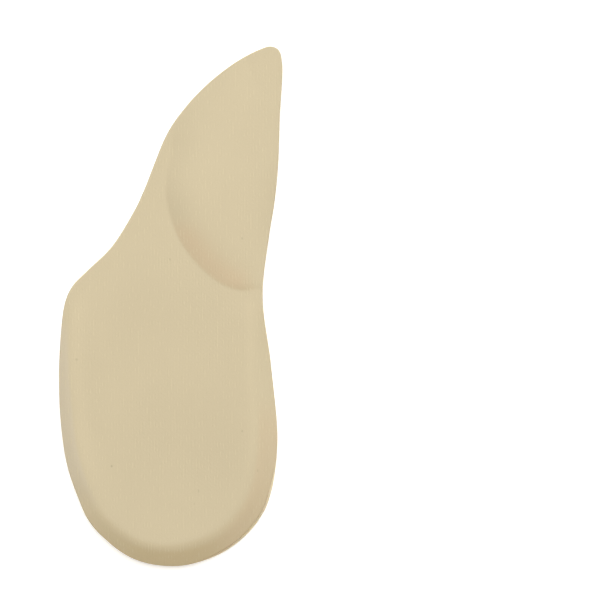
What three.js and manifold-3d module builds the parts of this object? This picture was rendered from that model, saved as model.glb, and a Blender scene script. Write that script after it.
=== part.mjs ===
// A three-quarter-length gel insole for the left foot: a moulded gel body with a raised arch
// dome, and a knitted fabric cover bonded over its top, its heel bevel and its side wall.
// Millimetres. +X is the medial (arch) side, +Y the toe end, +Z up. The origin lies under the
// middle of the outline, on the surface that the insole rests on.
import * as THREE from "three";
import { mergeVertices } from "three/addons/utils/BufferGeometryUtils.js";
import Module from "manifold-3d";

// Overall size of the outline
const INSOLE_LENGTH = 155;
const INSOLE_WIDTH = 66.7;

// Gel body
const GEL_HEEL_THICKNESS = 4.2;
const GEL_TOE_THICKNESS = 1.5;
const LIP_THICKNESS = 1.0; // the flat lip of gel below the cover's cut edge
const LIP_REACH = 0.3; // how far the lip stands out past the cover

// Fabric cover
const COVER_THICKNESS = 1.0;
const BOND_GAP = 0.3; // between the cover and the gel, everywhere

// Heel: the bevel that slopes down to the edge, and the shallow dish inside it
const BEVEL_WIDTH = 7.5;
const BEVEL_ANGLE = THREE.MathUtils.degToRad(25);
const DISH_DEPTH = 0.3;
const DISH_RADIUS = 26;

// Arch: a low dome with a broad top
const ARCH_RISE = 1.9; // above the pad around it
const ARCH_FLANK = 12; // width of the dome's flank, from its foot to its broad top
const MEDIAL_RAMP = 0.4; // rise of the pad where the crease of the dome runs out

// The outline, anticlockwise from the heel end. across runs from the lateral to the medial
// extreme of the width, along from the heel end to the tip of the length.
const OUTLINE = [
  { across: 0.51, along: 0 },
  { across: 0.679, along: 0.015 },
  { across: 0.803, along: 0.046 },
  { across: 0.901, along: 0.092 },
  { across: 0.948, along: 0.138 },
  { across: 0.979, along: 0.237 },
  { across: 0.951, along: 0.385 },
  { across: 0.913, along: 0.52 },
  { across: 0.942, along: 0.636 },
  { across: 0.966, along: 0.7 },
  { across: 0.982, along: 0.77 },
  { across: 0.99, along: 0.863 },
  { across: 1, along: 0.97 },
  { across: 0.985, along: 0.993 },
  { across: 0.948, along: 1 },
  { across: 0.9, along: 0.994 },
  { across: 0.797, along: 0.971 },
  { across: 0.657, along: 0.924 },
  { across: 0.559, along: 0.878 },
  { across: 0.485, along: 0.832 },
  { across: 0.383, along: 0.724 },
  { across: 0.332, along: 0.678 },
  { across: 0.241, along: 0.616 },
  { across: 0.133, along: 0.57 },
  { across: 0.063, along: 0.539 },
  { across: 0.031, along: 0.508 },
  { across: 0.009, along: 0.432 },
  { across: 0, along: 0.325 },
  { across: 0.032, along: 0.2 },
  { across: 0.092, along: 0.123 },
  { across: 0.125, along: 0.092 },
  { across: 0.183, along: 0.061 },
  { across: 0.333, along: 0.015 },
];

// The bevel on the lateral and the medial side: its width as a share of BEVEL_WIDTH, and its
// steepness as a share of the slope of BEVEL_ANGLE. It fades out past the waist.
const BEVEL_ROWS = [
  { along: 0, lateralWidth: 0.97, medialWidth: 1.03, lateralSlope: 1.1, medialSlope: 1.1 },
  { along: 0.036, lateralWidth: 0.9, medialWidth: 1.07, lateralSlope: 0.98, medialSlope: 1 },
  { along: 0.097, lateralWidth: 0.84, medialWidth: 1.13, lateralSlope: 0.95, medialSlope: 1 },
  { along: 0.173, lateralWidth: 0.75, medialWidth: 1.04, lateralSlope: 0.91, medialSlope: 1.02 },
  { along: 0.243, lateralWidth: 0.68, medialWidth: 0.96, lateralSlope: 0.88, medialSlope: 1.03 },
  { along: 0.31, lateralWidth: 0.64, medialWidth: 0.86, lateralSlope: 0.84, medialSlope: 1 },
  { along: 0.36, lateralWidth: 0.58, medialWidth: 0.84, lateralSlope: 0.76, medialSlope: 0.92 },
  { along: 0.42, lateralWidth: 0.48, medialWidth: 0.72, lateralSlope: 0.56, medialSlope: 0.8 },
  { along: 0.46, lateralWidth: 0.44, medialWidth: 0.58, lateralSlope: 0.3, medialSlope: 0.53 },
  { along: 0.51, lateralWidth: 0.4, medialWidth: 0.5, lateralSlope: 0, medialSlope: 0.1 },
  { along: 0.56, lateralWidth: 0.4, medialWidth: 0.55, lateralSlope: 0, medialSlope: 0.15 },
  { along: 0.62, lateralWidth: 0.4, medialWidth: 0.6, lateralSlope: 0, medialSlope: 0.35 },
  { along: 0.7, lateralWidth: 0.4, medialWidth: 0.65, lateralSlope: 0, medialSlope: 0.45 },
  { along: 0.8, lateralWidth: 0.4, medialWidth: 0.4, lateralSlope: 0, medialSlope: 0.1 },
  { along: 1, lateralWidth: 0.4, medialWidth: 0.4, lateralSlope: 0, medialSlope: 0 },
];

// The arch dome towards its lateral and its medial side: its rise as a share of ARCH_RISE, and
// the width of its flank as a share of ARCH_FLANK.
const ARCH_ROWS = [
  { along: 0.5, lateralRise: 0.132, medialRise: 0.184, lateralFlank: 0.25, medialFlank: 0.25 },
  { along: 0.531, lateralRise: 0.247, medialRise: 0.274, lateralFlank: 0.333, medialFlank: 0.25 },
  { along: 0.551, lateralRise: 0.368, medialRise: 0.3, lateralFlank: 0.542, medialFlank: 0.292 },
  { along: 0.585, lateralRise: 0.568, medialRise: 0.337, lateralFlank: 0.75, medialFlank: 0.375 },
  { along: 0.628, lateralRise: 0.789, medialRise: 0.395, lateralFlank: 0.917, medialFlank: 0.5 },
  { along: 0.693, lateralRise: 1, medialRise: 0.526, lateralFlank: 1, medialFlank: 0.625 },
  { along: 0.743, lateralRise: 0.974, medialRise: 0.526, lateralFlank: 1, medialFlank: 0.667 },
  { along: 0.786, lateralRise: 0.842, medialRise: 0.474, lateralFlank: 1, medialFlank: 0.667 },
  { along: 0.82, lateralRise: 0.711, medialRise: 0.395, lateralFlank: 1, medialFlank: 0.625 },
  { along: 0.859, lateralRise: 0.537, medialRise: 0.316, lateralFlank: 1, medialFlank: 0.583 },
  { along: 0.917, lateralRise: 0.289, medialRise: 0.184, lateralFlank: 0.8, medialFlank: 0.5 },
  { along: 1, lateralRise: 0, medialRise: 0, lateralFlank: 0.6, medialFlank: 0.417 },
];

// Foot of the arch dome, anticlockwise from its back end. The last eight rows are the crease
// that shows on the insole. The others run outside the outline, which cuts the dome off.
const ARCH_FOOT = [
  { across: 1.02, along: 0.526 },
  { across: 1.13, along: 0.57 },
  { across: 1.16, along: 0.637 },
  { across: 1.18, along: 0.743 },
  { across: 1.18, along: 0.878 },
  { across: 1.12, along: 1.0 },
  { across: 0.958, along: 1.025 },
  { across: 0.774, along: 0.984 },
  { across: 0.63, along: 0.934 },
  { across: 0.536, along: 0.884 },
  { across: 0.51, along: 0.844 },
  { across: 0.505, along: 0.803 },
  { across: 0.483, along: 0.734 },
  { across: 0.496, along: 0.693 },
  { across: 0.546, along: 0.63 },
  { across: 0.635, along: 0.576 },
  { across: 0.734, along: 0.541 },
  { across: 0.846, along: 0.528 },
];

// How finely the surfaces are divided
const OUTLINE_STEPS = 3; // between two rows of OUTLINE
const ARCH_STEPS = 3; // between two rows of ARCH_FOOT
const SPINE_STEPS = 24;
const BEVEL_RING_SHARES = [0.25, 0.5, 0.75, 1];
const FLOOR_RING_SHARES = [0.4];
const FLANK_RING_SHARES = [-0.1, 0, 0.2, 0.4, 0.7, 1]; // inwards from the foot of the dome
const DOME_RING_SHARES = [0.25, 0.5, 0.75]; // from the flank to the middle of the dome
const LARGEST_RING_SHARE = 0.6; // of the way from a loop to its middle
const SLOPE_STEP = 0.05; // over which a surface's slope is measured

const BEVEL_STRAIGHT_SHARE = 0.5; // of its width; the rest rounds into the floor
const BEVEL_BLEND = { from: 0.35, to: 0.65 }; // shares of the width, from lateral to medial
const ARCH_FULLNESS = 2.3; // 2 gives the flank a parabola, more makes it steeper at the crease
const ARCH_BLEND = { from: 0.68, to: 1 };
const RAMP_ACROSS = { from: 0.8, to: 0.9 };
const RAMP_ALONG = { from: 0.42, to: 0.56 };
const TAPER_START = 0.51; // share of the length where the pad starts to thin towards the toes
const SPINE_START = 0.2; // share of the length: the middle of the heel's round end
const SPINE_END = 0.93; // share of the length

const COVER_TOP = COVER_THICKNESS + BOND_GAP; // above the gel
const HEEL_THICKNESS = GEL_HEEL_THICKNESS + COVER_TOP;
const TOE_THICKNESS = GEL_TOE_THICKNESS + COVER_TOP;

// A place on the insole from its shares of the width and the length.
function placeAt({ across, along }) {
  return new THREE.Vector3((across - 0.5) * INSOLE_WIDTH, (along - 0.5) * INSOLE_LENGTH, 0);
}

// A smooth closed loop of points through the rows of a table, anticlockwise, open at its end.
function smoothLoop(rows, steps) {
  const curve = new THREE.CatmullRomCurve3(rows.map(placeAt), true, "centripetal");
  const points = curve.getPoints(rows.length * steps);
  points.pop();
  return points;
}

// The same loop, stretched a little so that its box is exactly the insole's length and width.
function fittedLoop(points) {
  const box = new THREE.Box3().setFromPoints(points);
  const size = box.getSize(new THREE.Vector3());
  const scale = new THREE.Vector3(INSOLE_WIDTH / size.x, INSOLE_LENGTH / size.y, 1);
  const centre = box.getCenter(new THREE.Vector3());
  return points.map((point) => point.clone().sub(centre).multiply(scale));
}

const outline = fittedLoop(smoothLoop(OUTLINE, OUTLINE_STEPS));
const archFoot = smoothLoop(ARCH_FOOT, ARCH_STEPS);
const archMiddle = archFoot
  .reduce((sum, point) => sum.add(point), new THREE.Vector3())
  .divideScalar(archFoot.length);

// Each point of a loop moved inwards, square to the loop.
function insetLoop(loop, inset) {
  return loop.map((point, i) => {
    const next = loop[(i + 1) % loop.length];
    const previous = loop[(i + loop.length - 1) % loop.length];
    const along = next.clone().sub(previous).normalize();
    return new THREE.Vector3(point.x - along.y * inset, point.y + along.x * inset, 0);
  });
}

// The nearest point of a loop to a place, and its distance from there.
function nearestOn(loop, x, y) {
  const place = new THREE.Vector3(x, y, 0);
  const line = new THREE.Line3();
  const candidate = new THREE.Vector3();
  let best = { distance: Infinity, point: null };
  for (let i = 0; i < loop.length; i++) {
    line.set(loop[i], loop[(i + 1) % loop.length]);
    line.closestPointToPoint(place, true, candidate);
    const distance = candidate.distanceTo(place);
    if (distance < best.distance) best = { distance, point: candidate.clone() };
  }
  return best;
}

// Where a level line at y enters and leaves a loop.
function crossingsAt(loop, y) {
  const crossings = [];
  loop.forEach((point, i) => {
    const next = loop[(i + 1) % loop.length];
    if (point.y < y !== next.y < y)
      crossings.push(THREE.MathUtils.mapLinear(y, point.y, next.y, point.x, next.x));
  });
  return crossings;
}

// Whether a place lies inside a loop.
function isInside(loop, x, y) {
  return crossingsAt(loop, y).filter((crossing) => crossing > x).length % 2 === 1;
}

// A reader of a table whose columns come in lateral and medial pairs. It follows smooth curves
// along the length and blends each pair across the width.
function sidedTable(rows, columns, blend) {
  const names = columns.flatMap((column) => [`lateral${column}`, `medial${column}`]);
  const positions = rows.map((row) => row.along);
  const values = rows.flatMap((row) => names.map((name) => row[name]));
  const curve = new THREE.CubicInterpolant(positions, values, names.length);
  return (x, y) => {
    const across = x / INSOLE_WIDTH + 0.5;
    const medialShare = THREE.MathUtils.smoothstep(across, blend.from, blend.to);
    const read = curve.evaluate(y / INSOLE_LENGTH + 0.5);
    return columns.map((_, k) => THREE.MathUtils.lerp(read[2 * k], read[2 * k + 1], medialShare));
  };
}

const readBevel = sidedTable(BEVEL_ROWS, ["Width", "Slope"], BEVEL_BLEND);
const readArch = sidedTable(ARCH_ROWS, ["Rise", "Flank"], ARCH_BLEND);

// Width and slope of the bevel at a point of the outline.
function bevelAt(point) {
  const [width, slope] = readBevel(point.x, point.y);
  return { width: width * BEVEL_WIDTH, slope: slope * Math.tan(BEVEL_ANGLE) };
}

// Rise and flank width of the arch dome at a place.
function archAt(x, y) {
  const [rise, flank] = readArch(x, y);
  return { rise: rise * ARCH_RISE, flank: flank * ARCH_FLANK };
}

// How far the bevel takes the surface down at a distance from the outline.
function bevelDrop(distance, { width, slope }) {
  if (distance >= width) return 0;
  const roundStart = BEVEL_STRAIGHT_SHARE * width;
  const roundSpan = width - roundStart;
  if (distance > roundStart) return (slope * (width - distance) ** 2) / (2 * roundSpan);
  return slope * (roundStart - distance + roundSpan / 2);
}

// Height of the outside surface without the arch.
function plainHeight(x, y) {
  const along = y / INSOLE_LENGTH + 0.5;
  const taper = THREE.MathUtils.clamp((along - TAPER_START) / (1 - TAPER_START), 0, 1);
  const thickness = THREE.MathUtils.lerp(HEEL_THICKNESS, TOE_THICKNESS, taper);
  const edge = nearestOn(outline, x, y);
  const heel = placeAt({ across: 0.5, along: SPINE_START });
  const fromHeel = Math.hypot(x - heel.x, y - heel.y) / DISH_RADIUS;
  const dish = DISH_DEPTH * Math.max(0, 1 - fromHeel ** 2) ** 2;
  return thickness - dish - bevelDrop(edge.distance, bevelAt(edge.point));
}

// Height of the outside surface with the ramp on the medial side, and without the dome.
function padHeight(x, y) {
  const across = x / INSOLE_WIDTH + 0.5;
  const along = y / INSOLE_LENGTH + 0.5;
  const acrossShare = THREE.MathUtils.smoothstep(across, RAMP_ACROSS.from, RAMP_ACROSS.to);
  const alongShare = THREE.MathUtils.smoothstep(along, RAMP_ALONG.from, RAMP_ALONG.to);
  return plainHeight(x, y) + MEDIAL_RAMP * acrossShare * alongShare;
}

// Height of the arch dome's surface, which goes on down past its foot.
function domeHeight(x, y) {
  const { rise, flank } = archAt(x, y);
  const fromFoot = nearestOn(archFoot, x, y).distance / flank;
  const inside = 1 - Math.max(0, 1 - fromFoot) ** ARCH_FULLNESS;
  const share = isInside(archFoot, x, y) ? inside : -ARCH_FULLNESS * fromFoot;
  return plainHeight(x, y) + rise * share;
}

// A height function for the surface that lies a wall's thickness inside another.
function loweredBy(wall, height) {
  return (x, y) => {
    const slopeX = (height(x + SLOPE_STEP, y) - height(x - SLOPE_STEP, y)) / (2 * SLOPE_STEP);
    const slopeY = (height(x, y + SLOPE_STEP) - height(x, y - SLOPE_STEP)) / (2 * SLOPE_STEP);
    return height(x, y) - wall * Math.hypot(1, slopeX, slopeY);
  };
}

// The line of points up the middle of the insole that the rings close on.
function spineOf(loop) {
  const start = (SPINE_START - 0.5) * INSOLE_LENGTH;
  const end = (SPINE_END - 0.5) * INSOLE_LENGTH;
  return Array.from({ length: SPINE_STEPS + 1 }, (_, i) => {
    const y = THREE.MathUtils.lerp(start, end, i / SPINE_STEPS);
    const crossings = crossingsAt(loop, y);
    return new THREE.Vector3((Math.min(...crossings) + Math.max(...crossings)) / 2, y, 0);
  });
}

// Which point of the spine a point of the loop is joined to.
function spineIndexOf(spine, point) {
  const share = (point.y - spine[0].y) / (spine[spine.length - 1].y - spine[0].y);
  return Math.round(THREE.MathUtils.clamp(share, 0, 1) * (spine.length - 1));
}

// Where the rings of points lie between a loop, at 0, and its middle, at 1. The near ones
// follow a band of their own width beside the loop, and the far ones share out the rest.
function ringPlaces(reach, band, nearShares, farShares) {
  const span = Math.min(band / reach, LARGEST_RING_SHARE);
  const far = farShares.map((share) => THREE.MathUtils.lerp(span, 1, share));
  return [...nearShares.map((share) => share * span), ...far];
}

// A geometry from points and triangles.
function geometryOf(points, triangles) {
  const geometry = new THREE.BufferGeometry().setFromPoints(points);
  geometry.setIndex(triangles.flat());
  return geometry;
}

const wasm = await Module();
wasm.setup();

// The solid that a closed geometry encloses, for joining and cutting.
function solidOf(geometry) {
  const bare = geometry.clone();
  bare.deleteAttribute("normal");
  bare.deleteAttribute("uv");
  const merged = mergeVertices(bare, 1e-5);
  return new wasm.Manifold(
    new wasm.Mesh({
      numProp: 3,
      vertProperties: merged.attributes.position.array,
      triVerts: new Uint32Array(merged.index.array),
    }),
  );
}

// The geometry of a solid.
function meshOf(solid) {
  const { numProp, vertProperties, triVerts } = solid.getMesh();
  const positions = [];
  for (let i = 0; i < vertProperties.length; i += numProp)
    positions.push(...vertProperties.subarray(i, i + 3));
  const geometry = new THREE.BufferGeometry();
  geometry.setAttribute("position", new THREE.Float32BufferAttribute(positions, 3));
  geometry.setIndex(Array.from(triVerts));
  return geometry;
}

// Triangles between two rings of the same number of points, given by their first indices.
function bandTriangles(outer, inner, count) {
  const triangles = [];
  for (let i = 0; i < count; i++) {
    const next = (i + 1) % count;
    triangles.push([outer + i, outer + next, inner + next]);
    triangles.push([outer + i, inner + next, inner + i]);
  }
  return triangles;
}

// Triangles that close a ring on the spine.
function spineTriangles(ring, spineStart, spineIndices) {
  const triangles = [];
  spineIndices.forEach((from, i) => {
    const next = (i + 1) % spineIndices.length;
    const to = spineIndices[next];
    triangles.push([ring + i, ring + next, spineStart + to]);
    const step = Math.sign(to - from);
    for (let s = from; s !== to; s += step)
      triangles.push([ring + i, spineStart + s + step, spineStart + s]);
  });
  return triangles;
}

// The same triangles facing the other way.
const flipped = (triangles) => triangles.map(([a, b, c]) => [a, c, b]);

// A solid inside a loop, with a flat bottom and a top that follows a height function.
function reliefSolid(loop, topHeight, bottom) {
  const spine = spineOf(loop);
  const spineIndices = loop.map((point) => spineIndexOf(spine, point));
  const ringsAt = loop.map((point, i) => {
    const reach = point.distanceTo(spine[spineIndices[i]]);
    const nearShares = [0, ...BEVEL_RING_SHARES];
    return ringPlaces(reach, bevelAt(point).width, nearShares, FLOOR_RING_SHARES);
  });
  const ringCount = ringsAt[0].length;
  const points = [];
  const lift = (point) => new THREE.Vector3(point.x, point.y, topHeight(point.x, point.y));
  for (let ring = 0; ring < ringCount; ring++)
    loop.forEach((point, i) => {
      points.push(lift(point.clone().lerp(spine[spineIndices[i]], ringsAt[i][ring])));
    });
  const topSpine = points.length;
  points.push(...spine.map(lift));
  const bottomRing = points.length;
  points.push(...loop.map((point) => point.clone().setZ(bottom)));
  const bottomSpine = points.length;
  points.push(...spine.map((point) => point.clone().setZ(bottom)));

  const triangles = bandTriangles(bottomRing, 0, loop.length);
  for (let ring = 1; ring < ringCount; ring++)
    triangles.push(...bandTriangles((ring - 1) * loop.length, ring * loop.length, loop.length));
  triangles.push(...spineTriangles((ringCount - 1) * loop.length, topSpine, spineIndices));
  triangles.push(...flipped(spineTriangles(bottomRing, bottomSpine, spineIndices)));
  return solidOf(geometryOf(points, triangles));
}

// The arch dome: rings of points from just outside its foot to its middle, with a flat bottom
// and a top that follows a height function.
function domeSolid(topHeight, bottom) {
  const count = archFoot.length;
  const ringsAt = archFoot.map((foot) => {
    const { flank } = archAt(foot.x, foot.y);
    const reach = foot.distanceTo(archMiddle);
    return ringPlaces(reach, flank, FLANK_RING_SHARES, DOME_RING_SHARES);
  });
  const ringCount = ringsAt[0].length;
  const points = [];
  const lift = (point) => new THREE.Vector3(point.x, point.y, topHeight(point.x, point.y));
  for (let ring = 0; ring < ringCount; ring++)
    archFoot.forEach((foot, i) => {
      points.push(lift(foot.clone().lerp(archMiddle, ringsAt[i][ring])));
    });
  const top = points.push(lift(archMiddle)) - 1;
  const bottomRing = points.length;
  points.push(...points.slice(0, count).map((point) => point.clone().setZ(bottom)));
  const bottomMiddle = points.push(archMiddle.clone().setZ(bottom)) - 1;

  const triangles = bandTriangles(bottomRing, 0, count);
  for (let ring = 1; ring < ringCount; ring++)
    triangles.push(...bandTriangles((ring - 1) * count, ring * count, count));
  const innermost = (ringCount - 1) * count;
  for (let i = 0; i < count; i++) {
    const next = (i + 1) % count;
    triangles.push([innermost + i, innermost + next, top]);
    triangles.push([bottomRing + next, bottomRing + i, bottomMiddle]);
  }
  return solidOf(geometryOf(points, triangles));
}

// An upright plate of the shape of a loop.
function plateSolid(loop, bottom, top) {
  const shape = new THREE.Shape(loop.map((point) => new THREE.Vector2(point.x, point.y)));
  const geometry = new THREE.ExtrudeGeometry(shape, { depth: top - bottom, bevelEnabled: false });
  geometry.translate(0, 0, bottom);
  return solidOf(geometry);
}

// The insole's whole form, inset from the outline and lowered by a wall, down to a flat bottom.
function formSolid(inset, wall, bottom) {
  const loop = insetLoop(outline, inset);
  const pad = reliefSolid(loop, loweredBy(wall, padHeight), bottom);
  const dome = domeSolid(loweredBy(wall, domeHeight), bottom);
  const clip = plateSolid(loop, bottom, 2 * (HEEL_THICKNESS + ARCH_RISE));
  return pad.add(dome.intersect(clip));
}

// The cover: a shell over the top, the bevel and the side wall, cut off above the gel's lip.
function fabricCover() {
  const cutEdge = LIP_THICKNESS + BOND_GAP;
  const outside = formSolid(LIP_REACH, 0, cutEdge);
  const inside = formSolid(LIP_REACH + COVER_THICKNESS, COVER_THICKNESS, 0);
  return meshOf(outside.subtract(inside));
}

// The gel: one casting with the arch dome in it, and a lip that reaches the outline.
function gelBody() {
  const body = formSolid(LIP_REACH + COVER_TOP, COVER_TOP, 0);
  return meshOf(body.add(plateSolid(outline, 0, LIP_THICKNESS)));
}

// A mesh with its name and its material.
function namedMesh(name, geometry, material) {
  geometry.computeVertexNormals();
  const mesh = new THREE.Mesh(geometry, material);
  mesh.name = name;
  return mesh;
}

const knit = new THREE.MeshStandardMaterial({ color: 0xd4c5a4, roughness: 0.95, metalness: 0 });
const gel = new THREE.MeshStandardMaterial({ color: 0xd9c9a2, roughness: 0.35, metalness: 0 });

const insole = new THREE.Group();
insole.add(namedMesh("gel_body", gelBody(), gel));
insole.add(namedMesh("fabric_cover", fabricCover(), knit));

export default insole;
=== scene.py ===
import math

import bpy
import numpy as np
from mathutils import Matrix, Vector, noise


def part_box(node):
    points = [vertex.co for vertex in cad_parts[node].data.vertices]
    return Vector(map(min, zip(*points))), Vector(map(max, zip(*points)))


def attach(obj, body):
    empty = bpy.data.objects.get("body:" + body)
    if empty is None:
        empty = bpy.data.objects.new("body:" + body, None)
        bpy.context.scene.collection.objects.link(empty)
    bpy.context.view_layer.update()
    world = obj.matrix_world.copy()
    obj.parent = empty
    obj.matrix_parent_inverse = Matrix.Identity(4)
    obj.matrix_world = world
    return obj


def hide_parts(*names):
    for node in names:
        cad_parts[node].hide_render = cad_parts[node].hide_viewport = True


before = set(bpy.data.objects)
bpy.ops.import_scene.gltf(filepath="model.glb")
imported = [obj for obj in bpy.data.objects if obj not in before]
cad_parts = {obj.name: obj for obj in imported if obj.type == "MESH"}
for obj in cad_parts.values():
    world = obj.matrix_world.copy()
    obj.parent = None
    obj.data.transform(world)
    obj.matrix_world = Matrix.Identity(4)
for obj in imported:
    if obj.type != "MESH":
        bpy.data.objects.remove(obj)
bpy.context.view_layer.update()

# A gel insole for the left foot, seen from straight above: a knitted beige cover bonded over a
# gel pad. The surfaces are worked out in millimetres in the model's frame (+X medial, +Y toes,
# +Z up) and turned into metres when each mesh is made.
MM = 0.001

gel_low, gel_high = (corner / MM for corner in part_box("gel_body"))
cover_low, cover_high = (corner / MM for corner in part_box("fabric_cover"))

INSOLE_LENGTH = gel_high.y - gel_low.y
INSOLE_WIDTH = gel_high.x - gel_low.x
LIP_REACH = (gel_high.x - cover_high.x + cover_low.x - gel_low.x) / 2

HEEL_THICKNESS = 5.5
TOE_THICKNESS = 2.8
COVER_THICKNESS = 1.0
LIP_THICKNESS = 1.0
BOND_GAP = 0.05  # the bond is thinner here than the clearance between the solids
CUT_HEIGHT = LIP_THICKNESS + BOND_GAP  # of the cover's cut edge

CUT_EDGE_RADIUS = 0.3
TOP_EDGE_RADIUS = 0.25  # along the top of the cover's side wall
LIP_EDGE_RADIUS = 0.35

BEVEL_WIDTH = 7.5
BEVEL_ANGLE = math.radians(25)
BEVEL_STRAIGHT_SHARE = 0.5
BEVEL_BLEND = (0.35, 0.65)  # where its lateral side turns into its medial side, across
DISH_CENTRE = (0.5, 0.2)  # across, along
DISH_DEPTH = 0.3
DISH_RADIUS = 26
TAPER_START = 0.51
TAPER_EASE = 0.06
ARCH_FULLNESS = 2.3  # 2 is a parabola, more is steeper at the crease
ARCH_BLEND = (0.68, 1)  # where its lateral side turns into its medial side, across
CREASE_RADIUS = 0.07  # height of the fillet along the foot of the arch dome
RAMP_HEIGHT = 0.4  # rise of the pad where the crease runs out beside the arch dome
RAMP_ACROSS = (0.8, 0.9)
RAMP_ALONG = (0.42, 0.56)

# How far the cover's wall stands inside the outline, as shares of LIP_REACH: the least, and
# what is added on each side of the heel
LIP_LEAST = 0.25
LIP_MEDIAL = 2.1
LIP_LATERAL = 0.8

# Slow random waves: height, length across and length along, and seed
PAD_SWELLS = [(0.05, 16, 20, 3), (0.02, 6, 7, 9)]
LIP_SWELL = (0.2, 9, 9, 5)  # its height is a share of LIP_REACH

# The outline, anticlockwise from the heel end, as shares of the width and the length
OUTLINE = [
    # across, along
    (0.51, 0),
    (0.679, 0.015),
    (0.803, 0.046),
    (0.901, 0.092),
    (0.948, 0.138),
    (0.979, 0.237),
    (0.951, 0.385),
    (0.913, 0.52),
    (0.942, 0.636),
    (0.966, 0.7),
    (0.982, 0.77),
    (0.99, 0.863),
    (1, 0.97),
    (0.985, 0.993),
    (0.948, 1),
    (0.9, 0.994),
    (0.797, 0.971),
    (0.657, 0.924),
    (0.559, 0.878),
    (0.485, 0.832),
    (0.383, 0.724),
    (0.332, 0.678),
    (0.241, 0.616),
    (0.133, 0.57),
    (0.063, 0.539),
    (0.031, 0.508),
    (0.009, 0.432),
    (0, 0.325),
    (0.032, 0.2),
    (0.092, 0.123),
    (0.125, 0.092),
    (0.183, 0.061),
    (0.333, 0.015),
]

# The bevel round the heel and along the arch: its width on each side, as shares of
# BEVEL_WIDTH, and its steepness on each side, as shares of the slope of BEVEL_ANGLE
BEVEL_ROWS = [
    # along, lateral, medial, lateral steepness, medial steepness
    (0, 0.97, 1.03, 1.1, 1.1),
    (0.036, 0.9, 1.07, 0.98, 1),
    (0.097, 0.84, 1.13, 0.95, 1),
    (0.173, 0.75, 1.04, 0.91, 1.02),
    (0.243, 0.68, 0.96, 0.88, 1.03),
    (0.31, 0.64, 0.86, 0.84, 1),
    (0.36, 0.58, 0.84, 0.76, 0.92),
    (0.42, 0.48, 0.72, 0.56, 0.8),
    (0.46, 0.44, 0.58, 0.3, 0.53),
    (0.51, 0.4, 0.5, 0, 0.1),
    (0.56, 0.4, 0.55, 0, 0.15),
    (0.62, 0.4, 0.6, 0, 0.35),
    (0.7, 0.4, 0.65, 0, 0.45),
    (0.8, 0.4, 0.4, 0, 0.1),
    (1, 0.4, 0.4, 0, 0),
]

# The arch dome towards its lateral and its medial side: how far its top stands above the pad,
# and the width of its flank, in millimetres
ARCH_ROWS = [
    # along, lateral rise, medial rise, lateral flank, medial flank
    (0.5, 0.25, 0.35, 3, 3),
    (0.531, 0.47, 0.52, 4, 3),
    (0.551, 0.7, 0.57, 6.5, 3.5),
    (0.585, 1.08, 0.64, 9, 4.5),
    (0.628, 1.5, 0.75, 11, 6),
    (0.693, 1.9, 1.0, 12, 7.5),
    (0.743, 1.85, 1.0, 12, 8),
    (0.786, 1.6, 0.9, 12, 8),
    (0.82, 1.35, 0.75, 12, 7.5),
    (0.859, 1.02, 0.6, 12, 7),
    (0.917, 0.55, 0.35, 9.6, 6),
    (1, 0, 0, 7.2, 5),
]

# Foot of the arch dome, anticlockwise from its back end. The last eight rows are the crease
# that shows. The others run outside the outline.
ARCH_FOOT = [
    # across, along
    (1.02, 0.526),
    (1.13, 0.57),
    (1.16, 0.637),
    (1.18, 0.743),
    (1.18, 0.878),
    (1.12, 1.0),
    (0.958, 1.025),
    (0.774, 0.984),
    (0.63, 0.934),
    (0.536, 0.884),
    (0.51, 0.844),
    (0.505, 0.803),
    (0.48, 0.734),
    (0.488, 0.692),
    (0.538, 0.629),
    (0.632, 0.575),
    (0.734, 0.541),
    (0.846, 0.528),
]

# How finely the loops and the meshes are divided
OUTLINE_STEPS = 40
FOOT_STEPS = 8
SEARCH_POINTS = 900
LOOP_POINTS = 760
SPINE_POINTS = 180
SPINE_SPAN = (0.2, 0.93)  # its two ends, along
TOP_RINGS = 70
INSIDE_SHARES = (0, 0.03, 0.08, 0.15, 0.25, 0.35, 0.45, 0.55, 0.65, 0.75, 0.85, 0.94)
UNDERSIDE_SHARES = (0.8, 0.5, 0.2)
WALL_SHARES = (0.25, 0.5, 0.75)
CUT_EDGE_POINTS = 5
TOP_EDGE_POINTS = 7
LIP_EDGE_POINTS = 4


# Plain helpers


def blend(start, end, share):
    """The number that lies a share of the way from start to end."""
    return start + (end - start) * share


def smoothstep(low, high, value):
    """0 up to low and 1 from high, with a smooth step between them."""
    t = np.clip((value - low) / (high - low), 0, 1)
    return t * t * (3 - 2 * t)


def window(value, rise, fall):
    """1 between a smooth step up and a smooth step down, and 0 beyond them."""
    return smoothstep(*rise, value) * (1 - smoothstep(*fall, value))


def bell(value, middle, width):
    """1 at the middle, fading out evenly on both sides."""
    return np.exp(-(((value - middle) / width) ** 2))


def swell(points, height, across, along, seed):
    """A slow random wave over the plan."""
    waves = [noise.noise(Vector((x / across, y / along, seed))) for x, y in points]
    return height * np.array(waves)


# Plan of the insole


def places(rows):
    """Points on the insole from shares of its width and length."""
    return (np.array(rows, float) - 0.5) * (INSOLE_WIDTH, INSOLE_LENGTH)


def shares(points):
    """How far across and along the insole points lie, as shares of its width and length."""
    return (points / (INSOLE_WIDTH, INSOLE_LENGTH) + 0.5).T


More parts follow.
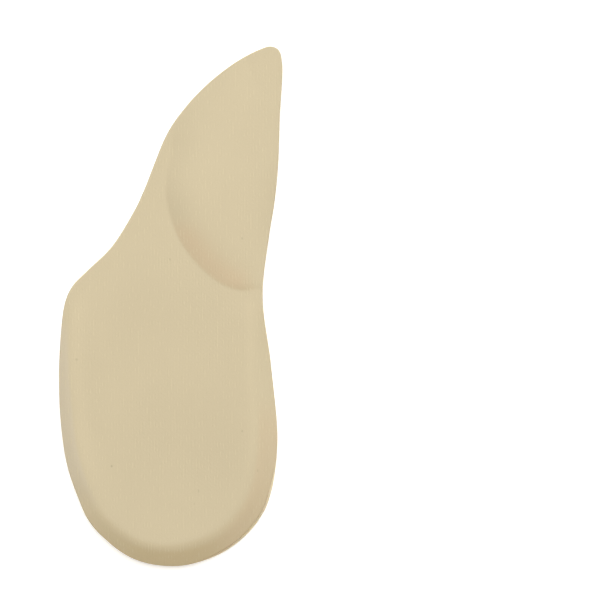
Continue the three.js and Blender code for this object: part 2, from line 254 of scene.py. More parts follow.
def smooth_loop(points, steps):
    """A dense closed centripetal Catmull-Rom loop through the points."""
    pieces = []
    count = len(points)
    for i in range(count):
        p0, p1, p2, p3 = (points[(i + k) % count] for k in (-1, 0, 1, 2))
        t1 = math.sqrt(np.linalg.norm(p1 - p0))
        t2 = t1 + math.sqrt(np.linalg.norm(p2 - p1))
        t3 = t2 + math.sqrt(np.linalg.norm(p3 - p2))
        t = np.linspace(t1, t2, steps, endpoint=False)[:, None]
        a1 = (t1 - t) / t1 * p0 + t / t1 * p1
        a2 = (t2 - t) / (t2 - t1) * p1 + (t - t1) / (t2 - t1) * p2
        a3 = (t3 - t) / (t3 - t2) * p2 + (t - t2) / (t3 - t2) * p3
        b1 = (t2 - t) / t2 * a1 + t / t2 * a2
        b2 = (t3 - t) / (t3 - t1) * a2 + (t - t1) / (t3 - t1) * a3
        pieces.append((t2 - t) / (t2 - t1) * b1 + (t - t1) / (t2 - t1) * b2)
    return np.concatenate(pieces)


def closed(loop):
    """A loop as a line that ends where it starts."""
    return np.vstack([loop, loop[:1]])


def even_loop(points, count):
    """The same loop with evenly spaced points."""
    line = closed(points)
    along = np.concatenate([[0], np.cumsum(np.linalg.norm(np.diff(line, axis=0), axis=1))])
    wanted = np.linspace(0, along[-1], count, endpoint=False)
    return np.stack([np.interp(wanted, along, line[:, k]) for k in (0, 1)], axis=1)


def fitted_loop(points):
    """The same loop, stretched a little so that its box is the insole's length and width."""
    low, high = points.min(0), points.max(0)
    return (points - (low + high) / 2) * ((INSOLE_WIDTH, INSOLE_LENGTH) / (high - low))


def inset_loop(loop, inset):
    """The points of a loop moved inwards, square to the loop, by one distance or one each."""
    along = np.roll(loop, -1, 0) - np.roll(loop, 1, 0)
    along /= np.linalg.norm(along, axis=1)[:, None]
    inward = np.stack([-along[:, 1], along[:, 0]], axis=1)
    return loop + inward * np.reshape(inset, (-1, 1))


def nearest_on_line(points, line, chunk=4000):
    """For each point, its distance from a line and the nearest place on it.

    The place is given as the number of the line's stretch plus a share of that stretch.
    """
    start = line[:-1]
    step = np.diff(line, axis=0)
    length2 = (step**2).sum(1)
    distances, places_on_line = [], []
    for part in np.array_split(points, max(1, len(points) // chunk)):
        offset = part[:, None] - start
        share = np.clip((offset * step).sum(2) / length2, 0, 1)
        distance = np.linalg.norm(offset - share[..., None] * step, axis=2)
        best = distance.argmin(1)
        row = np.arange(len(part))
        distances.append(distance[row, best])
        places_on_line.append(best + share[row, best])
    return np.concatenate(distances), np.concatenate(places_on_line)


def along_line(line, place):
    """The point of a line at a place that nearest_on_line gave."""
    numbers = np.arange(len(line))
    return np.stack([np.interp(place, numbers, line[:, k]) for k in (0, 1)], axis=1)


outline = fitted_loop(smooth_loop(places(OUTLINE), OUTLINE_STEPS))
outline_line = closed(even_loop(outline, SEARCH_POINTS))
arch_foot = smooth_loop(places(ARCH_FOOT), FOOT_STEPS)
foot_line = closed(arch_foot)


def nearest_on_outline(points):
    """For each point, its distance from the outline and the nearest point of it."""
    distance, place = nearest_on_line(points, outline_line)
    return distance, along_line(outline_line, place)


# Heights of the cover's outside


def smooth_interp(value, positions, numbers):
    """Numbers between the rows of a table, on a curve without corners."""
    slopes = np.gradient(numbers, positions)
    k = np.clip(np.searchsorted(positions, value) - 1, 0, len(positions) - 2)
    step = positions[k + 1] - positions[k]
    t = np.clip((value - positions[k]) / step, 0, 1)
    start = (1 + 2 * t) * (1 - t) ** 2 * numbers[k] + t * (1 - t) ** 2 * step * slopes[k]
    end = t**2 * (3 - 2 * t) * numbers[k + 1] - t**2 * (1 - t) * step * slopes[k + 1]
    return start + end


def read_pairs(table, points, side_blend):
    """A table's two pairs of lateral and medial columns, each blended across the width."""
    across, along = shares(points)
    medial_share = smoothstep(*side_blend, across)
    rows = np.array(table, float)
    columns = [smooth_interp(along, rows[:, 0], rows[:, k]) for k in (1, 2, 3, 4)]
    return [blend(*pair, medial_share) for pair in (columns[:2], columns[2:])]


def bevel_at(nearest):
    """Width and slope of the bevel at points of the outline."""
    width, steepness = read_pairs(BEVEL_ROWS, nearest, BEVEL_BLEND)
    return BEVEL_WIDTH * width, math.tan(BEVEL_ANGLE) * steepness


def bevel_drop(distance, nearest):
    """How far the bevel takes the surface down at a distance from the outline."""
    width, slope = bevel_at(nearest)
    round_span = (1 - BEVEL_STRAIGHT_SHARE) * width
    rounded = slope * np.maximum(width - distance, 0) ** 2 / (2 * round_span)
    straight = slope * (width - round_span - distance + round_span / 2)
    return np.where(distance < BEVEL_STRAIGHT_SHARE * width, straight, rounded)


def taper(along):
    """The pad's way from its heel thickness (0) to its toe thickness (1), with a soft start."""
    past_start = np.clip((along - TAPER_START + TAPER_EASE / 2) / TAPER_EASE, 0, 1)
    past_ease = np.maximum(along - TAPER_START - TAPER_EASE / 2, 0)
    return (past_start**2 / 2 * TAPER_EASE + past_ease) / (1 - TAPER_START)


def pad_height(points, distance, nearest):
    """The pad without its arch dome: a slow taper to the toes, the dish and the bevel."""
    _, along = shares(points)
    thickness = blend(HEEL_THICKNESS, TOE_THICKNESS, taper(along))
    from_centre = np.linalg.norm(points - places([DISH_CENTRE]), axis=1) / DISH_RADIUS
    dish = DISH_DEPTH * np.maximum(0, 1 - from_centre**2) ** 2
    return thickness - dish - bevel_drop(distance, nearest)


def medial_ramp(points):
    """A low ramp on the medial side, into which the crease of the arch dome runs out."""
    across, along = shares(points)
    return RAMP_HEIGHT * smoothstep(*RAMP_ALONG, along) * smoothstep(*RAMP_ACROSS, across)


def inside_foot(points):
    """Whether points lie inside the foot of the arch dome."""
    middle = arch_foot.mean(0)
    foot = arch_foot - middle
    angles = np.arctan2(foot[:, 1], foot[:, 0])
    order = angles.argsort()
    foot_reach = np.linalg.norm(foot, axis=1)[order]
    offset = points - middle
    angle = np.arctan2(offset[:, 1], offset[:, 0])
    reach = np.interp(angle, angles[order], foot_reach, period=2 * math.pi)
    return np.linalg.norm(offset, axis=1) < reach


def depth_in_arch(points):
    """Distance inwards from the foot of the arch dome. It is negative outside the foot."""
    distance, _ = nearest_on_line(points, foot_line)
    return np.where(inside_foot(points), distance, -distance)


def arch_rise(points):
    """Height of the arch dome above the pad. It is negative outside the dome's foot."""
    top, flank = read_pairs(ARCH_ROWS, points, ARCH_BLEND)
    depth = depth_in_arch(points)
    inside = top * (1 - np.clip(1 - depth / flank, 0, 1) ** ARCH_FULLNESS)
    outside = ARCH_FULLNESS * top / flank * depth
    return np.where(depth > 0, inside, outside)


def filleted_rise(rise):
    """The rise above the pad, turning from flat to dome over a small fillet."""
    fillet = (rise + CREASE_RADIUS) ** 2 / (4 * CREASE_RADIUS)
    below_dome = np.where(rise < -CREASE_RADIUS, 0, fillet)
    return np.where(rise > CREASE_RADIUS, rise, below_dome)


def top_edge_drop(distance):
    """How far the round top edge takes the surface down at a distance from the side wall."""
    gap = np.clip(TOP_EDGE_RADIUS - distance, 0, TOP_EDGE_RADIUS)
    return TOP_EDGE_RADIUS - np.sqrt(TOP_EDGE_RADIUS**2 - gap**2)


def surface_height(points, inset=None):
    """The cover's outside. Its top edge is round where the side wall's inset is given."""
    distance, nearest = nearest_on_outline(points)
    unevenness = sum(swell(points, *row) for row in PAD_SWELLS)
    ramp = medial_ramp(points)
    height = pad_height(points, distance, nearest) + unevenness
    height += ramp + filleted_rise(arch_rise(points) - ramp)
    return height if inset is None else height - top_edge_drop(distance - inset)


def lowered(points, wall):
    """Height of a surface that lies one wall's thickness inside the cover's outside."""
    step = 0.2
    slopes = [
        (surface_height(points + move) - surface_height(points - move)) / (2 * step)
        for move in ((step, 0), (0, step))
    ]
    return surface_height(points) - wall * np.sqrt(1 + slopes[0] ** 2 + slopes[1] ** 2)


# Meshes


def add_object(name, data):
    """A new object in the scene."""
    item = bpy.data.objects.new(name, data)
    bpy.context.scene.collection.objects.link(item)
    return item


def add_mesh(name, corners, faces):
    """A new mesh object in the scene, from corners in metres."""
    mesh = bpy.data.meshes.new(name)
    mesh.from_pydata(corners, [], faces)
    return add_object(name, mesh)


def spine(count):
    """Points up the middle of the insole, where the rings of a surface close."""
    ys = (np.linspace(*SPINE_SPAN, count) - 0.5) * INSOLE_LENGTH
    loop = even_loop(outline, len(outline))
    top = loop[:, 1].argmax()
    bottom = loop[:, 1].argmin()
    loop = np.roll(loop, -bottom, 0)
    top = (top - bottom) % len(loop)
    medial = np.interp(ys, loop[: top + 1, 1], loop[: top + 1, 0])
    lateral = np.interp(ys, loop[top:, 1][::-1], loop[top:, 0][::-1])
    return np.stack([(medial + lateral) / 2, ys], axis=1)


def spine_index(loop, line):
    """Which point of the spine each point of the loop is joined to."""
    share = (loop[:, 1] - line[0, 1]) / (line[-1, 1] - line[0, 1])
    return np.round(np.clip(share, 0, 1) * (len(line) - 1)).astype(int)


class Plan:
    """A plan loop with the rays that lead from its points to the spine."""

    def __init__(self, loop, line):
        self.loop = loop
        self.line = line
        self.indices = spine_index(loop, line)
        self.ray = line[self.indices] - loop
        self.reach = np.linalg.norm(self.ray, axis=1)

    def ring(self, share):
        """The loop, moved a share of its way to the spine."""
        return self.loop + self.ray * np.reshape(share, (-1, 1))

    def ring_at(self, depth):
        """The loop, moved a distance towards the spine."""
        return self.ring(depth / self.reach)


def upright(loop, height):
    """A ring of 3-D points from a plan loop and one height or one each."""
    return np.column_stack([loop, np.broadcast_to(height, len(loop))])


def ring_band(outer, inner, count):
    """Quads between two rings, given by the indices of their first points."""
    i = np.arange(count)
    j = (i + 1) % count
    return [tuple(quad) for quad in np.stack([outer + i, outer + j, inner + j, inner + i], 1)]


def spine_fill(ring, start, indices):
    """Triangles that close a ring on the spine."""
    faces = []
    for i, first in enumerate(indices):
        following = (i + 1) % len(indices)
        last = indices[following]
        faces.append((ring + i, ring + following, start + last))
        step = 1 if last > first else -1
        for s in range(first, last, step):
            faces.append((ring + i, start + s + step, start + s))
    return faces


def flipped(faces):
    """The same faces, turned to look the other way."""
    return [tuple(reversed(face)) for face in faces]


def loft(name, rings, plan, first_heights, last_heights):
    """A closed smooth piece through a row of rings that starts and ends on the spine."""
    count = len(plan.loop)
    spines = [upright(plan.line, heights) for heights in (first_heights, last_heights)]
    points = np.vstack([*rings, *spines])
    first_spine = len(rings) * count
    last_spine = first_spine + len(plan.line)
    faces = flipped(spine_fill(0, first_spine, plan.indices))
    for k in range(len(rings) - 1):
        faces += ring_band(k * count, (k + 1) * count, count)
    faces += spine_fill((len(rings) - 1) * count, last_spine, plan.indices)
    piece = add_mesh(name, (points * MM).tolist(), faces)
    piece.data.shade_smooth()
    return piece


def quarter_round(radius, count):
    """Depth and rise of the points of a round edge, from its inner end to its outer end."""
    turns = np.linspace(0, math.pi / 2, count)
    return [(radius * (1 - math.sin(turn)), radius * (1 - math.cos(turn))) for turn in turns]


def lowered_rings(plan, wall, ring_shares):
    """Rings of the surface that lies one wall's thickness inside the cover's outside."""
    rings = [plan.ring(share) for share in ring_shares]
    return [upright(ring, lowered(ring, wall)) for ring in rings]


even_outline = even_loop(outline, LOOP_POINTS)
spine_line = spine(SPINE_POINTS)


def cover_insets():
    """How far the cover's wall stands inside the outline. The lip shows most beside the heel."""
    across, along = shares(even_outline)
    medial_heel = smoothstep(0.55, 0.7, across) * window(along, (-0.01, 0.03), (0.14, 0.22))
    lateral_heel = (1 - smoothstep(0.2, 0.4, across)) * window(along, (0.02, 0.07), (0.32, 0.44))
    beside_heel = LIP_MEDIAL * medial_heel + LIP_LATERAL * lateral_heel
    return LIP_REACH * (LIP_LEAST + beside_heel + swell(even_outline, *LIP_SWELL))


def cover_inside(inner):
    """The cover's underside, from the spine outwards, and its inner wall."""
    underside = lowered_rings(inner, COVER_THICKNESS, reversed(INSIDE_SHARES))
    return [*underside, upright(inner.loop, CUT_HEIGHT)]


def cover_wall(plan, insets):
    """The cover's cut edge, round on its outer side, and its side wall."""
    rings = [
        upright(plan.ring_at(depth), CUT_HEIGHT + rise)
        for depth, rise in quarter_round(CUT_EDGE_RADIUS, CUT_EDGE_POINTS)
    ]
    foot = CUT_HEIGHT + CUT_EDGE_RADIUS
    top = surface_height(plan.loop, insets)
    rings += [upright(plan.loop, blend(foot, top, share)) for share in WALL_SHARES]
    return rings


def cover_top(plan, insets):
    """The cover's round top edge, and its top from there to the spine."""
    edge = reversed(quarter_round(TOP_EDGE_RADIUS, TOP_EDGE_POINTS))
    rings = [plan.ring_at(depth) for depth, _ in edge]
    edge_share = TOP_EDGE_RADIUS / plan.reach
    for share in np.linspace(0, 1, TOP_RINGS + 1)[1:-1]:
        rings.append(plan.ring(blend(edge_share, 1, share)))
    return [upright(ring, surface_height(ring, insets)) for ring in rings]


def make_cover():
    """The knitted cover: a shell, open below, over the top and down the sides of the gel."""
    insets = cover_insets()
    plan = Plan(inset_loop(even_outline, insets), spine_line)
    inner = Plan(inset_loop(plan.loop, COVER_THICKNESS), spine_line)
    rings = [*cover_inside(inner), *cover_wall(plan, insets), *cover_top(plan, insets)]
    under_spine = lowered(spine_line, COVER_THICKNESS)
    return loft("knit_cover", rings, plan, under_spine, surface_height(spine_line))


def gel_lip(plan):
    """The gel's flat underside, from the spine outwards, and its lip with soft edges."""
    rings = [upright(plan.ring(share), 0) for share in UNDERSIDE_SHARES]
    edge = quarter_round(LIP_EDGE_RADIUS, LIP_EDGE_POINTS)
    rings += [upright(plan.ring_at(depth), rise) for depth, rise in edge]
    rings += [
        upright(plan.ring_at(depth), LIP_THICKNESS - rise) for depth, rise in reversed(edge)
    ]
    return rings


def make_gel():
    """The gel: a flat underside, a thin lip, and the body that fills the cover."""
    wall = COVER_THICKNESS + BOND_GAP
    plan = Plan(even_outline, spine_line)
    body = Plan(inset_loop(even_outline, LIP_REACH + wall), spine_line)
    rings = [
        *gel_lip(plan),
        upright(body.loop, LIP_THICKNESS),
        *lowered_rings(body, wall, INSIDE_SHARES),
    ]
    return loft("gel_pad", rings, plan, 0, lowered(spine_line, wall))


# Nodes


def new_material(name):
    """A material with its node tree and its shader."""
    material = bpy.data.materials.new(name)
    material.use_nodes = True
    tree = material.node_tree
    return material, tree, tree.nodes["Principled BSDF"]


def add(tree, kind, **settings):
    """A node with its settings."""
    node = tree.nodes.new(kind)
    for name, value in settings.items():
        setattr(node, name, value)
    return node


def set_inputs(node, values):
    """Set a node's inputs by name."""
    for name, value in values.items():
        node.inputs[name].default_value = value


def feed(tree, socket, value):
    """Give an input a value, or link it where the value is a socket."""
    if isinstance(value, bpy.types.NodeSocket):
        tree.links.new(value, socket)
    else:
        socket.default_value = value


def maths(tree, operation, a, b):
    """A Math node on two sockets or numbers."""
    node = add(tree, "ShaderNodeMath", operation=operation)
    feed(tree, node.inputs[0], a)
    feed(tree, node.inputs[1], b)
    return node.outputs[0]


def vector_maths(tree, operation, a, b):
    """A Vector Math node on two sockets or vectors."""
    node = add(tree, "ShaderNodeVectorMath", operation=operation)
    feed(tree, node.inputs[0], a)
    feed(tree, node.inputs[1], b)
    return node.outputs[0]


def scaled(tree, vector, factor):
    """A vector or colour times a factor. Each is a value or a socket."""
    node = add(tree, "ShaderNodeVectorMath", operation="SCALE")
    feed(tree, node.inputs[0], vector)
    feed(tree, node.inputs["Scale"], factor)
    return node.outputs[0]


def length(tree, vector):
    """The length of a vector from a socket."""
    node = add(tree, "ShaderNodeVectorMath", operation="LENGTH")
    tree.links.new(vector, node.inputs[0])
    return node.outputs["Value"]


def opaque(colour):
    """A colour with full alpha."""
    return (*colour, 1)


def mix(tree, base, colour, factor):
    """A colour mixed with another by a factor. Each is a value or a socket."""
    node = add(tree, "ShaderNodeMix", data_type="RGBA")
    feed(tree, node.inputs["A"], base)
    feed(tree, node.inputs["B"], colour)
    feed(tree, node.inputs["Factor"], factor)
    return node.outputs["Result"]


def remap(tree, value, low, high, to_low, to_high):
    """A socket's value, moved from one range to another."""
    node = add(tree, "ShaderNodeMapRange")
    set_inputs(node, {"From Min": low, "From Max": high, "To Min": to_low, "To Max": to_high})
    tree.links.new(value, node.inputs["Value"])
    return node.outputs[0]


def total(tree, terms):
    """The sum of sockets."""
    result = terms[0]
    for term in terms[1:]:
        result = maths(tree, "ADD", result, term)
    return result


def weighted(tree, sockets, weights):
    """The sum of the sockets that the weights name, each times its weight."""
    return total(
        tree,
        [maths(tree, "MULTIPLY", sockets[name], weight) for name, weight in weights.items()],
    )


def attribute(tree, name):
    """A number that is stored on the mesh."""
    return add(tree, "ShaderNodeAttribute", attribute_name=name).outputs["Fac"]


def millimetres(tree):
    """The place on the object, in millimetres."""
    place = add(tree, "ShaderNodeTexCoord").outputs["Object"]
    return scaled(tree, place, 1 / MM)


def noise_at(tree, place, density, detail=2.0, roughness=0.5):
    """A noise whose features lie one over density millimetres apart on each axis."""
    mapping = add(tree, "ShaderNodeMapping")
    set_inputs(mapping, {"Scale": density})
    tree.links.new(place, mapping.inputs["Vector"])
    texture = add(tree, "ShaderNodeTexNoise")
    set_inputs(texture, {"Scale": 1.0, "Detail": detail, "Roughness": roughness})
    tree.links.new(mapping.outputs[0], texture.inputs["Vector"])
    return texture.outputs[0]


def add_bump(tree, shader, height, strength, distance):
    """Bump on the shader from a height, with the distance in millimetres."""
    bump = add(tree, "ShaderNodeBump")
    set_inputs(bump, {"Strength": strength, "Distance": distance * MM})
    tree.links.new(height, bump.inputs["Height"])
    tree.links.new(bump.outputs[0], shader.inputs["Normal"])


# The knit's material

WALE_PITCH = 0.9
WALE_SWAY = 1.2  # how far the wales wander sideways, in millimetres
COURSE_PITCH = 1.3
COURSE_SLANT = 1.6  # how far each stitch leans out of its course, in radians of its phase

# Densities of the knit's noises, in features a millimetre on each axis
SWAY_DENSITY = (0.15, 0.05, 0.15)
PATCH_DENSITY = (0.9, 0.5, 0.9)
FUZZ_DENSITY = (5.0, 3.0, 5.0)
MOTTLE_DENSITY = (0.05, 0.035, 0.05)

# How much each part of the knit's pattern does for its relief and for its tone
RELIEF_WEIGHTS = {"ribs": 0.4, "dashes": 0.5, "courses": 0.18, "fuzz": 0.7}
TONE_WEIGHTS = {"ribs": 0.005, "grooves": 0.016, "mottle": 0.06, "centred fuzz": 0.1}

KNIT_COLOUR = (0.53, 0.449, 0.299)
KNIT_TINTS = {
    # painted shade: a more orange tint where the knit leans towards the heel, away from the key
    # light
    "heel_side_shade": (0.525, 0.428, 0.26),  # round the heel and the arch dome's heel side
    # painted shade: a redder tint low on the arch dome's flank and on the medial bevel
    "warm_shade": (0.544, 0.434, 0.283),  # low on the arch dome's flank and on the medial bevel
    # painted light: a paler, cooler tint where the lateral bevel faces sideways
    "pale": (0.53, 0.455, 0.325),  # on the lateral bevel
}
DASH_COLOUR = (0.556, 0.48, 0.312)
DASH_SHARE = 0.5  # how much of its colour a dash takes at most

# Specks of lint on the knit
LINT = [
    # across, along, half width and half length in millimetres, tone
    (0.24, 0.194, 0.4, 0.5, -0.22),
    (0.499, 0.59, 0.25, 0.55, -0.2),
    (0.084, 0.398, 0.55, 0.55, -0.13),
    (0.821, 0.63, 0.4, 0.5, -0.14),
    (0.821, 0.261, 0.4, 0.5, -0.14),
    (0.89, 0.185, 0.25, 0.7, -0.11),
    (0.626, 0.146, 0.25, 0.8, -0.12),
    (0.608, 0.122, 0.25, 0.5, -0.1),
]
LINT_CORE = 0.3  # share of a speck's size that has its full tone


def wale_and_course(tree, place):
    """Waves that stand for the wales, which run along the foot, and the courses across it."""
    axes = add(tree, "ShaderNodeSeparateXYZ")
    tree.links.new(place, axes.inputs[0])
    sway = maths(tree, "MULTIPLY", noise_at(tree, place, SWAY_DENSITY), WALE_SWAY)
    across = maths(tree, "ADD", axes.outputs[0], sway)
    wale_phase = maths(tree, "MULTIPLY", across, 2 * math.pi / WALE_PITCH)
    half_phase = maths(tree, "MULTIPLY", wale_phase, 0.5)
    slant = maths(tree, "MULTIPLY", maths(tree, "SINE", half_phase, 0), COURSE_SLANT)
    course_phase = maths(tree, "MULTIPLY", axes.outputs[1], 2 * math.pi / COURSE_PITCH)
    course_phase = maths(tree, "ADD", course_phase, slant)
    return maths(tree, "SINE", wale_phase, 0), maths(tree, "SINE", course_phase, 0)


def knit_pattern(tree, place):
    """The parts of the knit's pattern: wales, which show most in patches, courses and fuzz."""
    wales, courses = wale_and_course(tree, place)
    patches = noise_at(tree, place, PATCH_DENSITY, detail=1.0)
    rib_strength = remap(tree, patches, 0.45, 0.72, 0.12, 1.0)
    groove_strength = remap(tree, patches, 0.54, 0.66, 0.0, 1.0)
    grooves = maths(tree, "MULTIPLY", wales, groove_strength)
    fuzz = noise_at(tree, place, FUZZ_DENSITY, detail=3.0, roughness=0.6)
    return {
        "ribs": maths(tree, "MULTIPLY", wales, rib_strength),
        "grooves": grooves,
        "dashes": maths(tree, "MAXIMUM", grooves, 0.0),
        "courses": courses,
        "fuzz": fuzz,
        "centred fuzz": maths(tree, "SUBTRACT", fuzz, 0.5),
        "mottle": maths(tree, "SUBTRACT", noise_at(tree, place, MOTTLE_DENSITY), 0.5),
    }


def lint_tones(tree, place):
    """The tone that each speck of lint gives to the knit, as a list of sockets."""
    tones = []
    for across, along, half_width, half_length, tone in LINT:
        middle = (*places([(across, along)])[0], 0)
        offset = vector_maths(tree, "SUBTRACT", place, middle)
        offset = vector_maths(tree, "MULTIPLY", offset, (1 / half_width, 1 / half_length, 0))
        tones.append(remap(tree, length(tree, offset), LINT_CORE, 1, tone, 0))
    return tones


def knit_colour(tree, place, pattern):
    """The knit's colour with its painted tints of light and shade and its dashes, lighter or
    darker by its tone.
    """
    colour = opaque(KNIT_COLOUR)
    for name, tint in KNIT_TINTS.items():
        colour = mix(tree, colour, opaque(tint), attribute(tree, name))
    dash_share = maths(tree, "MULTIPLY", pattern["dashes"], DASH_SHARE)
    colour = mix(tree, colour, opaque(DASH_COLOUR), dash_share)
    # The tone adds the knit's pattern and its lint to the painted light and shade stored on the
    # mesh.
    fine = weighted(tree, pattern, TONE_WEIGHTS)
    tone = total(tree, [fine, attribute(tree, "tone"), *lint_tones(tree, place)])
    return scaled(tree, colour, maths(tree, "ADD", tone, 1.0))


def knit_material():
    """A fine beige knit: faint wales along the foot, seen as short dashes, soft mottling, and
    painted light and shade.
    """
    material, tree, shader = new_material("beige_knit")
    place = millimetres(tree)
    pattern = knit_pattern(tree, place)
    relief = weighted(tree, pattern, RELIEF_WEIGHTS)
    add_bump(tree, shader, relief, strength=0.55, distance=0.035)
    tree.links.new(knit_colour(tree, place, pattern), shader.inputs["Base Color"])
    finish = {
        "Roughness": 0.95,
        "Specular IOR Level": 0.2,
        "Sheen Weight": 0.08,
        "Sheen Roughness": 0.5,
        "Sheen Tint": opaque(KNIT_COLOUR),
    }
    set_inputs(shader, finish)
    return material


# The gel's material

GEL_COLOUR = (0.78, 0.68, 0.48)
CLOUD_DENSITY = (0.12, 0.12, 0.4)
GRAIN_DENSITY = (2.5, 2.5, 2.5)


def gel_material():
    """Beige gel: slightly glossy, soft inside, with a faint cloudiness."""
    material, tree, shader = new_material("beige_gel")
    place = millimetres(tree)
    clouds = noise_at(tree, place, CLOUD_DENSITY, detail=3.0)
    colour = scaled(tree, GEL_COLOUR, remap(tree, clouds, 0.3, 0.7, 0.95, 1.05))
    tree.links.new(colour, shader.inputs["Base Color"])
    grain = noise_at(tree, place, GRAIN_DENSITY)
    add_bump(tree, shader, grain, strength=0.4, distance=0.02)
    finish = {
        "Roughness": 0.38,
        "Subsurface Weight": 0.25,
        "Subsurface Radius": (0.002, 0.0014, 0.0008),
        "Subsurface Scale": 1.0,
    }
    set_inputs(shader, finish)
    return material


# Painted light and shade on the knit: where it is lighter or darker, and where it takes its tints

# Soft light and dark areas of the knit, painted light and shade
LIGHT_AND_SHADE_SPOTS = [
    # across, along, radius in millimetres, tone
    (0.95, 0.97, 14, 0.02),
    (0.76, 0.3, 22, -0.014),
    (0.62, 0.15, 24, -0.027),
    (0.14, 0.46, 9, 0.02),
    (0.4, 0.3, 14, 0.01),
    (0.36, 0.53, 8, -0.012),
    (0.82, 0.62, 10, 0.016),
    (0.87, 0.495, 5, 0.03),
]

# The painted highlight, a light line along the inner edge of the bevel, on its lateral and its
# medial side: how far it lies past the edge and how wide it is, in millimetres, and its tone
CREST_PLACE = (1.5, 0.3)
CREST_WIDTH = (2.4, 1.2)
CREST_HIGHLIGHT = (0.032, 0.028)

# Painted highlight on top of the arch dome, and painted shade low on its lateral flank
ARCH_TOP_HIGHLIGHT = 0.012
ARCH_FLANK_SHADE = -0.023


def spot_light_and_shade(points):
    """The painted light and shade of the soft areas, each a round spot that fades out past its
    radius.
    """
    tone = np.zeros(len(points))
    for across, along, radius, strength in LIGHT_AND_SHADE_SPOTS:
        distance = np.linalg.norm(points - places([(across, along)]), axis=1)
        tone += strength * bell(distance, 0, radius)
    return tone


def crest_highlight(points):
    """A painted highlight: the knit is lighter along the inner edge of the bevel."""
    across, along = shares(points)
    distance, nearest = nearest_on_outline(points)
    bevel_width, _ = bevel_at(nearest)
    medial = smoothstep(0.3, 0.7, across)
    middle = blend(*CREST_PLACE, medial)
    width = blend(*CREST_WIDTH, medial)
    line = bell(distance - bevel_width, middle, width)
    return blend(*CREST_HIGHLIGHT, medial) * line * window(along, (0.12, 0.25), (0.48, 0.54))


def arch_light_and_shade(points):
    """Painted light and shade: the knit is lighter on top of the arch dome, and darker low on its
    lateral flank.
    """
    across, along = shares(points)
    highest = max(row[1] for row in ARCH_ROWS)
    top = smoothstep(0.45, 0.95, arch_rise(points) / highest)
    depth = depth_in_arch(points)
    flank = bell(depth, middle=3, width=5) * smoothstep(-0.2, 1, depth)
    flank *= smoothstep(0.56, 0.64, along) * (1 - smoothstep(0.65, 0.9, across))
    return ARCH_TOP_HIGHLIGHT * top + ARCH_FLANK_SHADE * flank


def heel_side_shade_share(towards_heel):
    """Painted shade: how much the orange tint shows, by how far the knit leans towards the heel.
    """
    gentle = smoothstep(0.03, 0.2, towards_heel)
    steep = smoothstep(0.25, 0.45, towards_heel)
    return 0.35 * gentle + 0.65 * steep


def warm_shade_share(points, towards_medial):
    """Painted shade: how much the knit takes its redder tint, low on the dome's flank and the
    medial bevel.
    """
    across, along = shares(points)
    depth = depth_in_arch(points)
    flank = bell(depth, middle=2.5, width=4) * smoothstep(-0.2, 0.6, depth)
    flank *= (1 - smoothstep(0.63, 0.68, along)) * (1 - smoothstep(0.78, 0.9, across))
    bevel = smoothstep(0.1, 0.3, towards_medial) * (1 - smoothstep(0.26, 0.34, along))
    return flank + 0.6 * bevel


def pale_light_share(points, towards_lateral):
    """Painted cool light: how much the pale tint shows, beside the dish and up to the waist."""
    _, along = shares(points)
    beside_dish = window(along, (0.08, 0.2), (0.46, 0.52))
    return smoothstep(0.05, 0.25, towards_lateral) * beside_dish


def vertex_vectors(vectors, name):
    """A vector of each vertex of a mesh, as an array."""
    values = np.zeros(len(vectors) * 3)
    vectors.foreach_get(name, values)
    return values.reshape(-1, 3)


def mark_knit(piece):
    """Store the painted light and shade: where the knit is lighter or darker, and where it takes
    each of its tints.
    """
    points = vertex_vectors(piece.data.vertices, "co")[:, :2] / MM
    towards_medial, towards_toes, _ = vertex_vectors(piece.data.vertex_normals, "vector").T
    # Every mark is painted light or shade: the lighter and darker tone, and the three tints.
    marks = {
        "tone": spot_light_and_shade(points) + crest_highlight(points) + arch_light_and_shade(points),
        "heel_side_shade": heel_side_shade_share(-towards_toes),
        "warm_shade": warm_shade_share(points, towards_medial),
        "pale": pale_light_share(points, -towards_medial),
    }
    for name, values in marks.items():
        layer = piece.data.attributes.new(name, "FLOAT", "POINT")
        layer.data.foreach_set("value", values.astype(np.float32))


# Stage

FLOOR_REACH = 3.0
BACKDROP_HEIGHT = 1.5

# The photograph is taken from straight above. Its frame is 600 pixels wide, and the insole's
# outline spans these pixels in it.
PHOTO_SIZE = 600
OUTLINE_LEFT, OUTLINE_RIGHT = 59.2, 282.5
OUTLINE_TOP, OUTLINE_BOTTOM = 46.8, 565.8
CAMERA_DISTANCE = 0.9
SENSOR = 36.0


def stage_material(name, glow):
    """A matt pale surface that also gives off a little light."""
    material, _, shader = new_material(name)
    finish = {
        "Base Color": (0.9, 0.9, 0.9, 1),
        "Emission Color": (1, 1, 1, 1),
        "Emission Strength": glow,
        "Roughness": 1.0,
        "Specular IOR Level": 0.0,
    }
    set_inputs(shader, finish)
    return material


def floor_corners(height):
    """The floor's four corners, at a height."""
    signs = [(-1, -1), (1, -1), (1, 1), (-1, 1)]
    return [(x * FLOOR_REACH, y * FLOOR_REACH, height) for x, y in signs]


def make_stage_piece(name, corners, faces, glow):
    """A piece of the stage, which is no part of the insole."""
    piece = add_mesh(name, corners, faces)
    piece.data.materials.append(stage_material(f"pale_{name}", glow))
    return piece


def make_backdrop():
    """Walls round the floor, which only low views see. They neither light nor shade the insole."""
    corners = floor_corners(0) + floor_corners(BACKDROP_HEIGHT)
    backdrop = make_stage_piece("backdrop", corners, ring_band(0, 4, 4), glow=1)
    backdrop.visible_diffuse = False
    backdrop.visible_glossy = False
    backdrop.visible_shadow = False


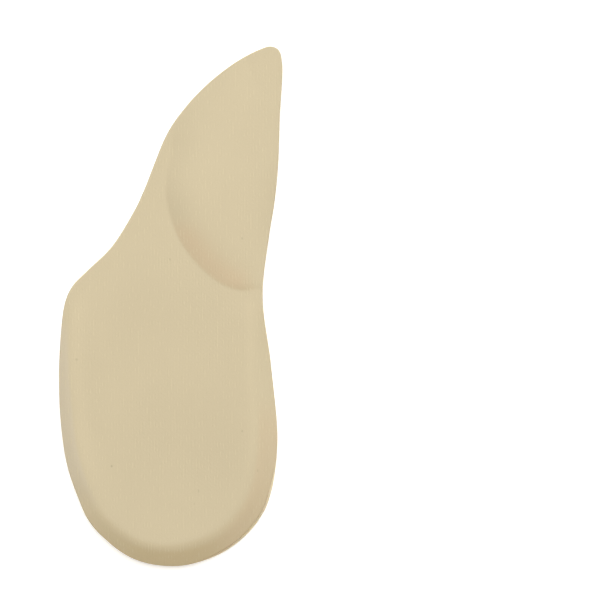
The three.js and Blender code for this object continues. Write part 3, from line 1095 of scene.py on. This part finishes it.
def make_sun(name, elevation, azimuth, strength, spread, colour):
    """A wide soft light. Azimuth 0 stands at the heel and 180 at the toes."""
    light = bpy.data.lights.new(name, "SUN")
    light.color = colour
    light.energy = strength
    light.angle = math.radians(spread)
    turn, lift = math.radians(azimuth), math.radians(elevation)
    out = math.cos(lift)
    towards = Vector((math.sin(turn) * out, -math.cos(turn) * out, math.sin(lift)))
    add_object(name, light).rotation_euler = towards.to_track_quat("Z", "Y").to_euler()


def make_world(strength):
    """Even white light from all sides."""
    world = bpy.data.worlds.new("studio")
    world.use_nodes = True
    background = world.node_tree.nodes["Background"]
    set_inputs(background, {"Color": (1, 1, 1, 1), "Strength": strength})
    bpy.context.scene.world = world


def make_camera():
    """The photograph's camera, placed so that the outline spans the pixels named above."""
    pixel = INSOLE_LENGTH * MM / (OUTLINE_BOTTOM - OUTLINE_TOP)
    x = (PHOTO_SIZE / 2 - (OUTLINE_LEFT + OUTLINE_RIGHT) / 2) * pixel
    y = ((OUTLINE_TOP + OUTLINE_BOTTOM) / 2 - PHOTO_SIZE / 2) * pixel
    data = bpy.data.cameras.new("camera")
    data.sensor_width = SENSOR
    data.lens = SENSOR * CAMERA_DISTANCE / (PHOTO_SIZE * pixel)
    camera = add_object("camera", data)
    camera.location = (x, y, CAMERA_DISTANCE)
    bpy.context.scene.camera = camera


def make_stage():
    """The floor, the backdrop, the lights and the camera."""
    make_stage_piece("floor", floor_corners(0), [(0, 1, 2, 3)], glow=0.3)
    make_backdrop()
    make_sun("key", elevation=56, azimuth=175, strength=4.2, spread=90, colour=(0.96, 0.98, 1))
    make_sun("fill", elevation=25, azimuth=0, strength=0.5, spread=120, colour=(1, 0.7, 0.3))
    make_world(strength=0.1)
    make_camera()
    view = bpy.context.scene.view_settings
    view.view_transform = "Standard"
    view.look = "None"


def dress():
    """Put the cover and the gel in place of the solids."""
    cover = make_cover()
    mark_knit(cover)
    cover.data.materials.append(knit_material())
    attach(cover, "root")
    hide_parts("fabric_cover")

    gel = make_gel()
    gel.data.materials.append(gel_material())
    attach(gel, "root")
    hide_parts("gel_body")


dress()
make_stage()
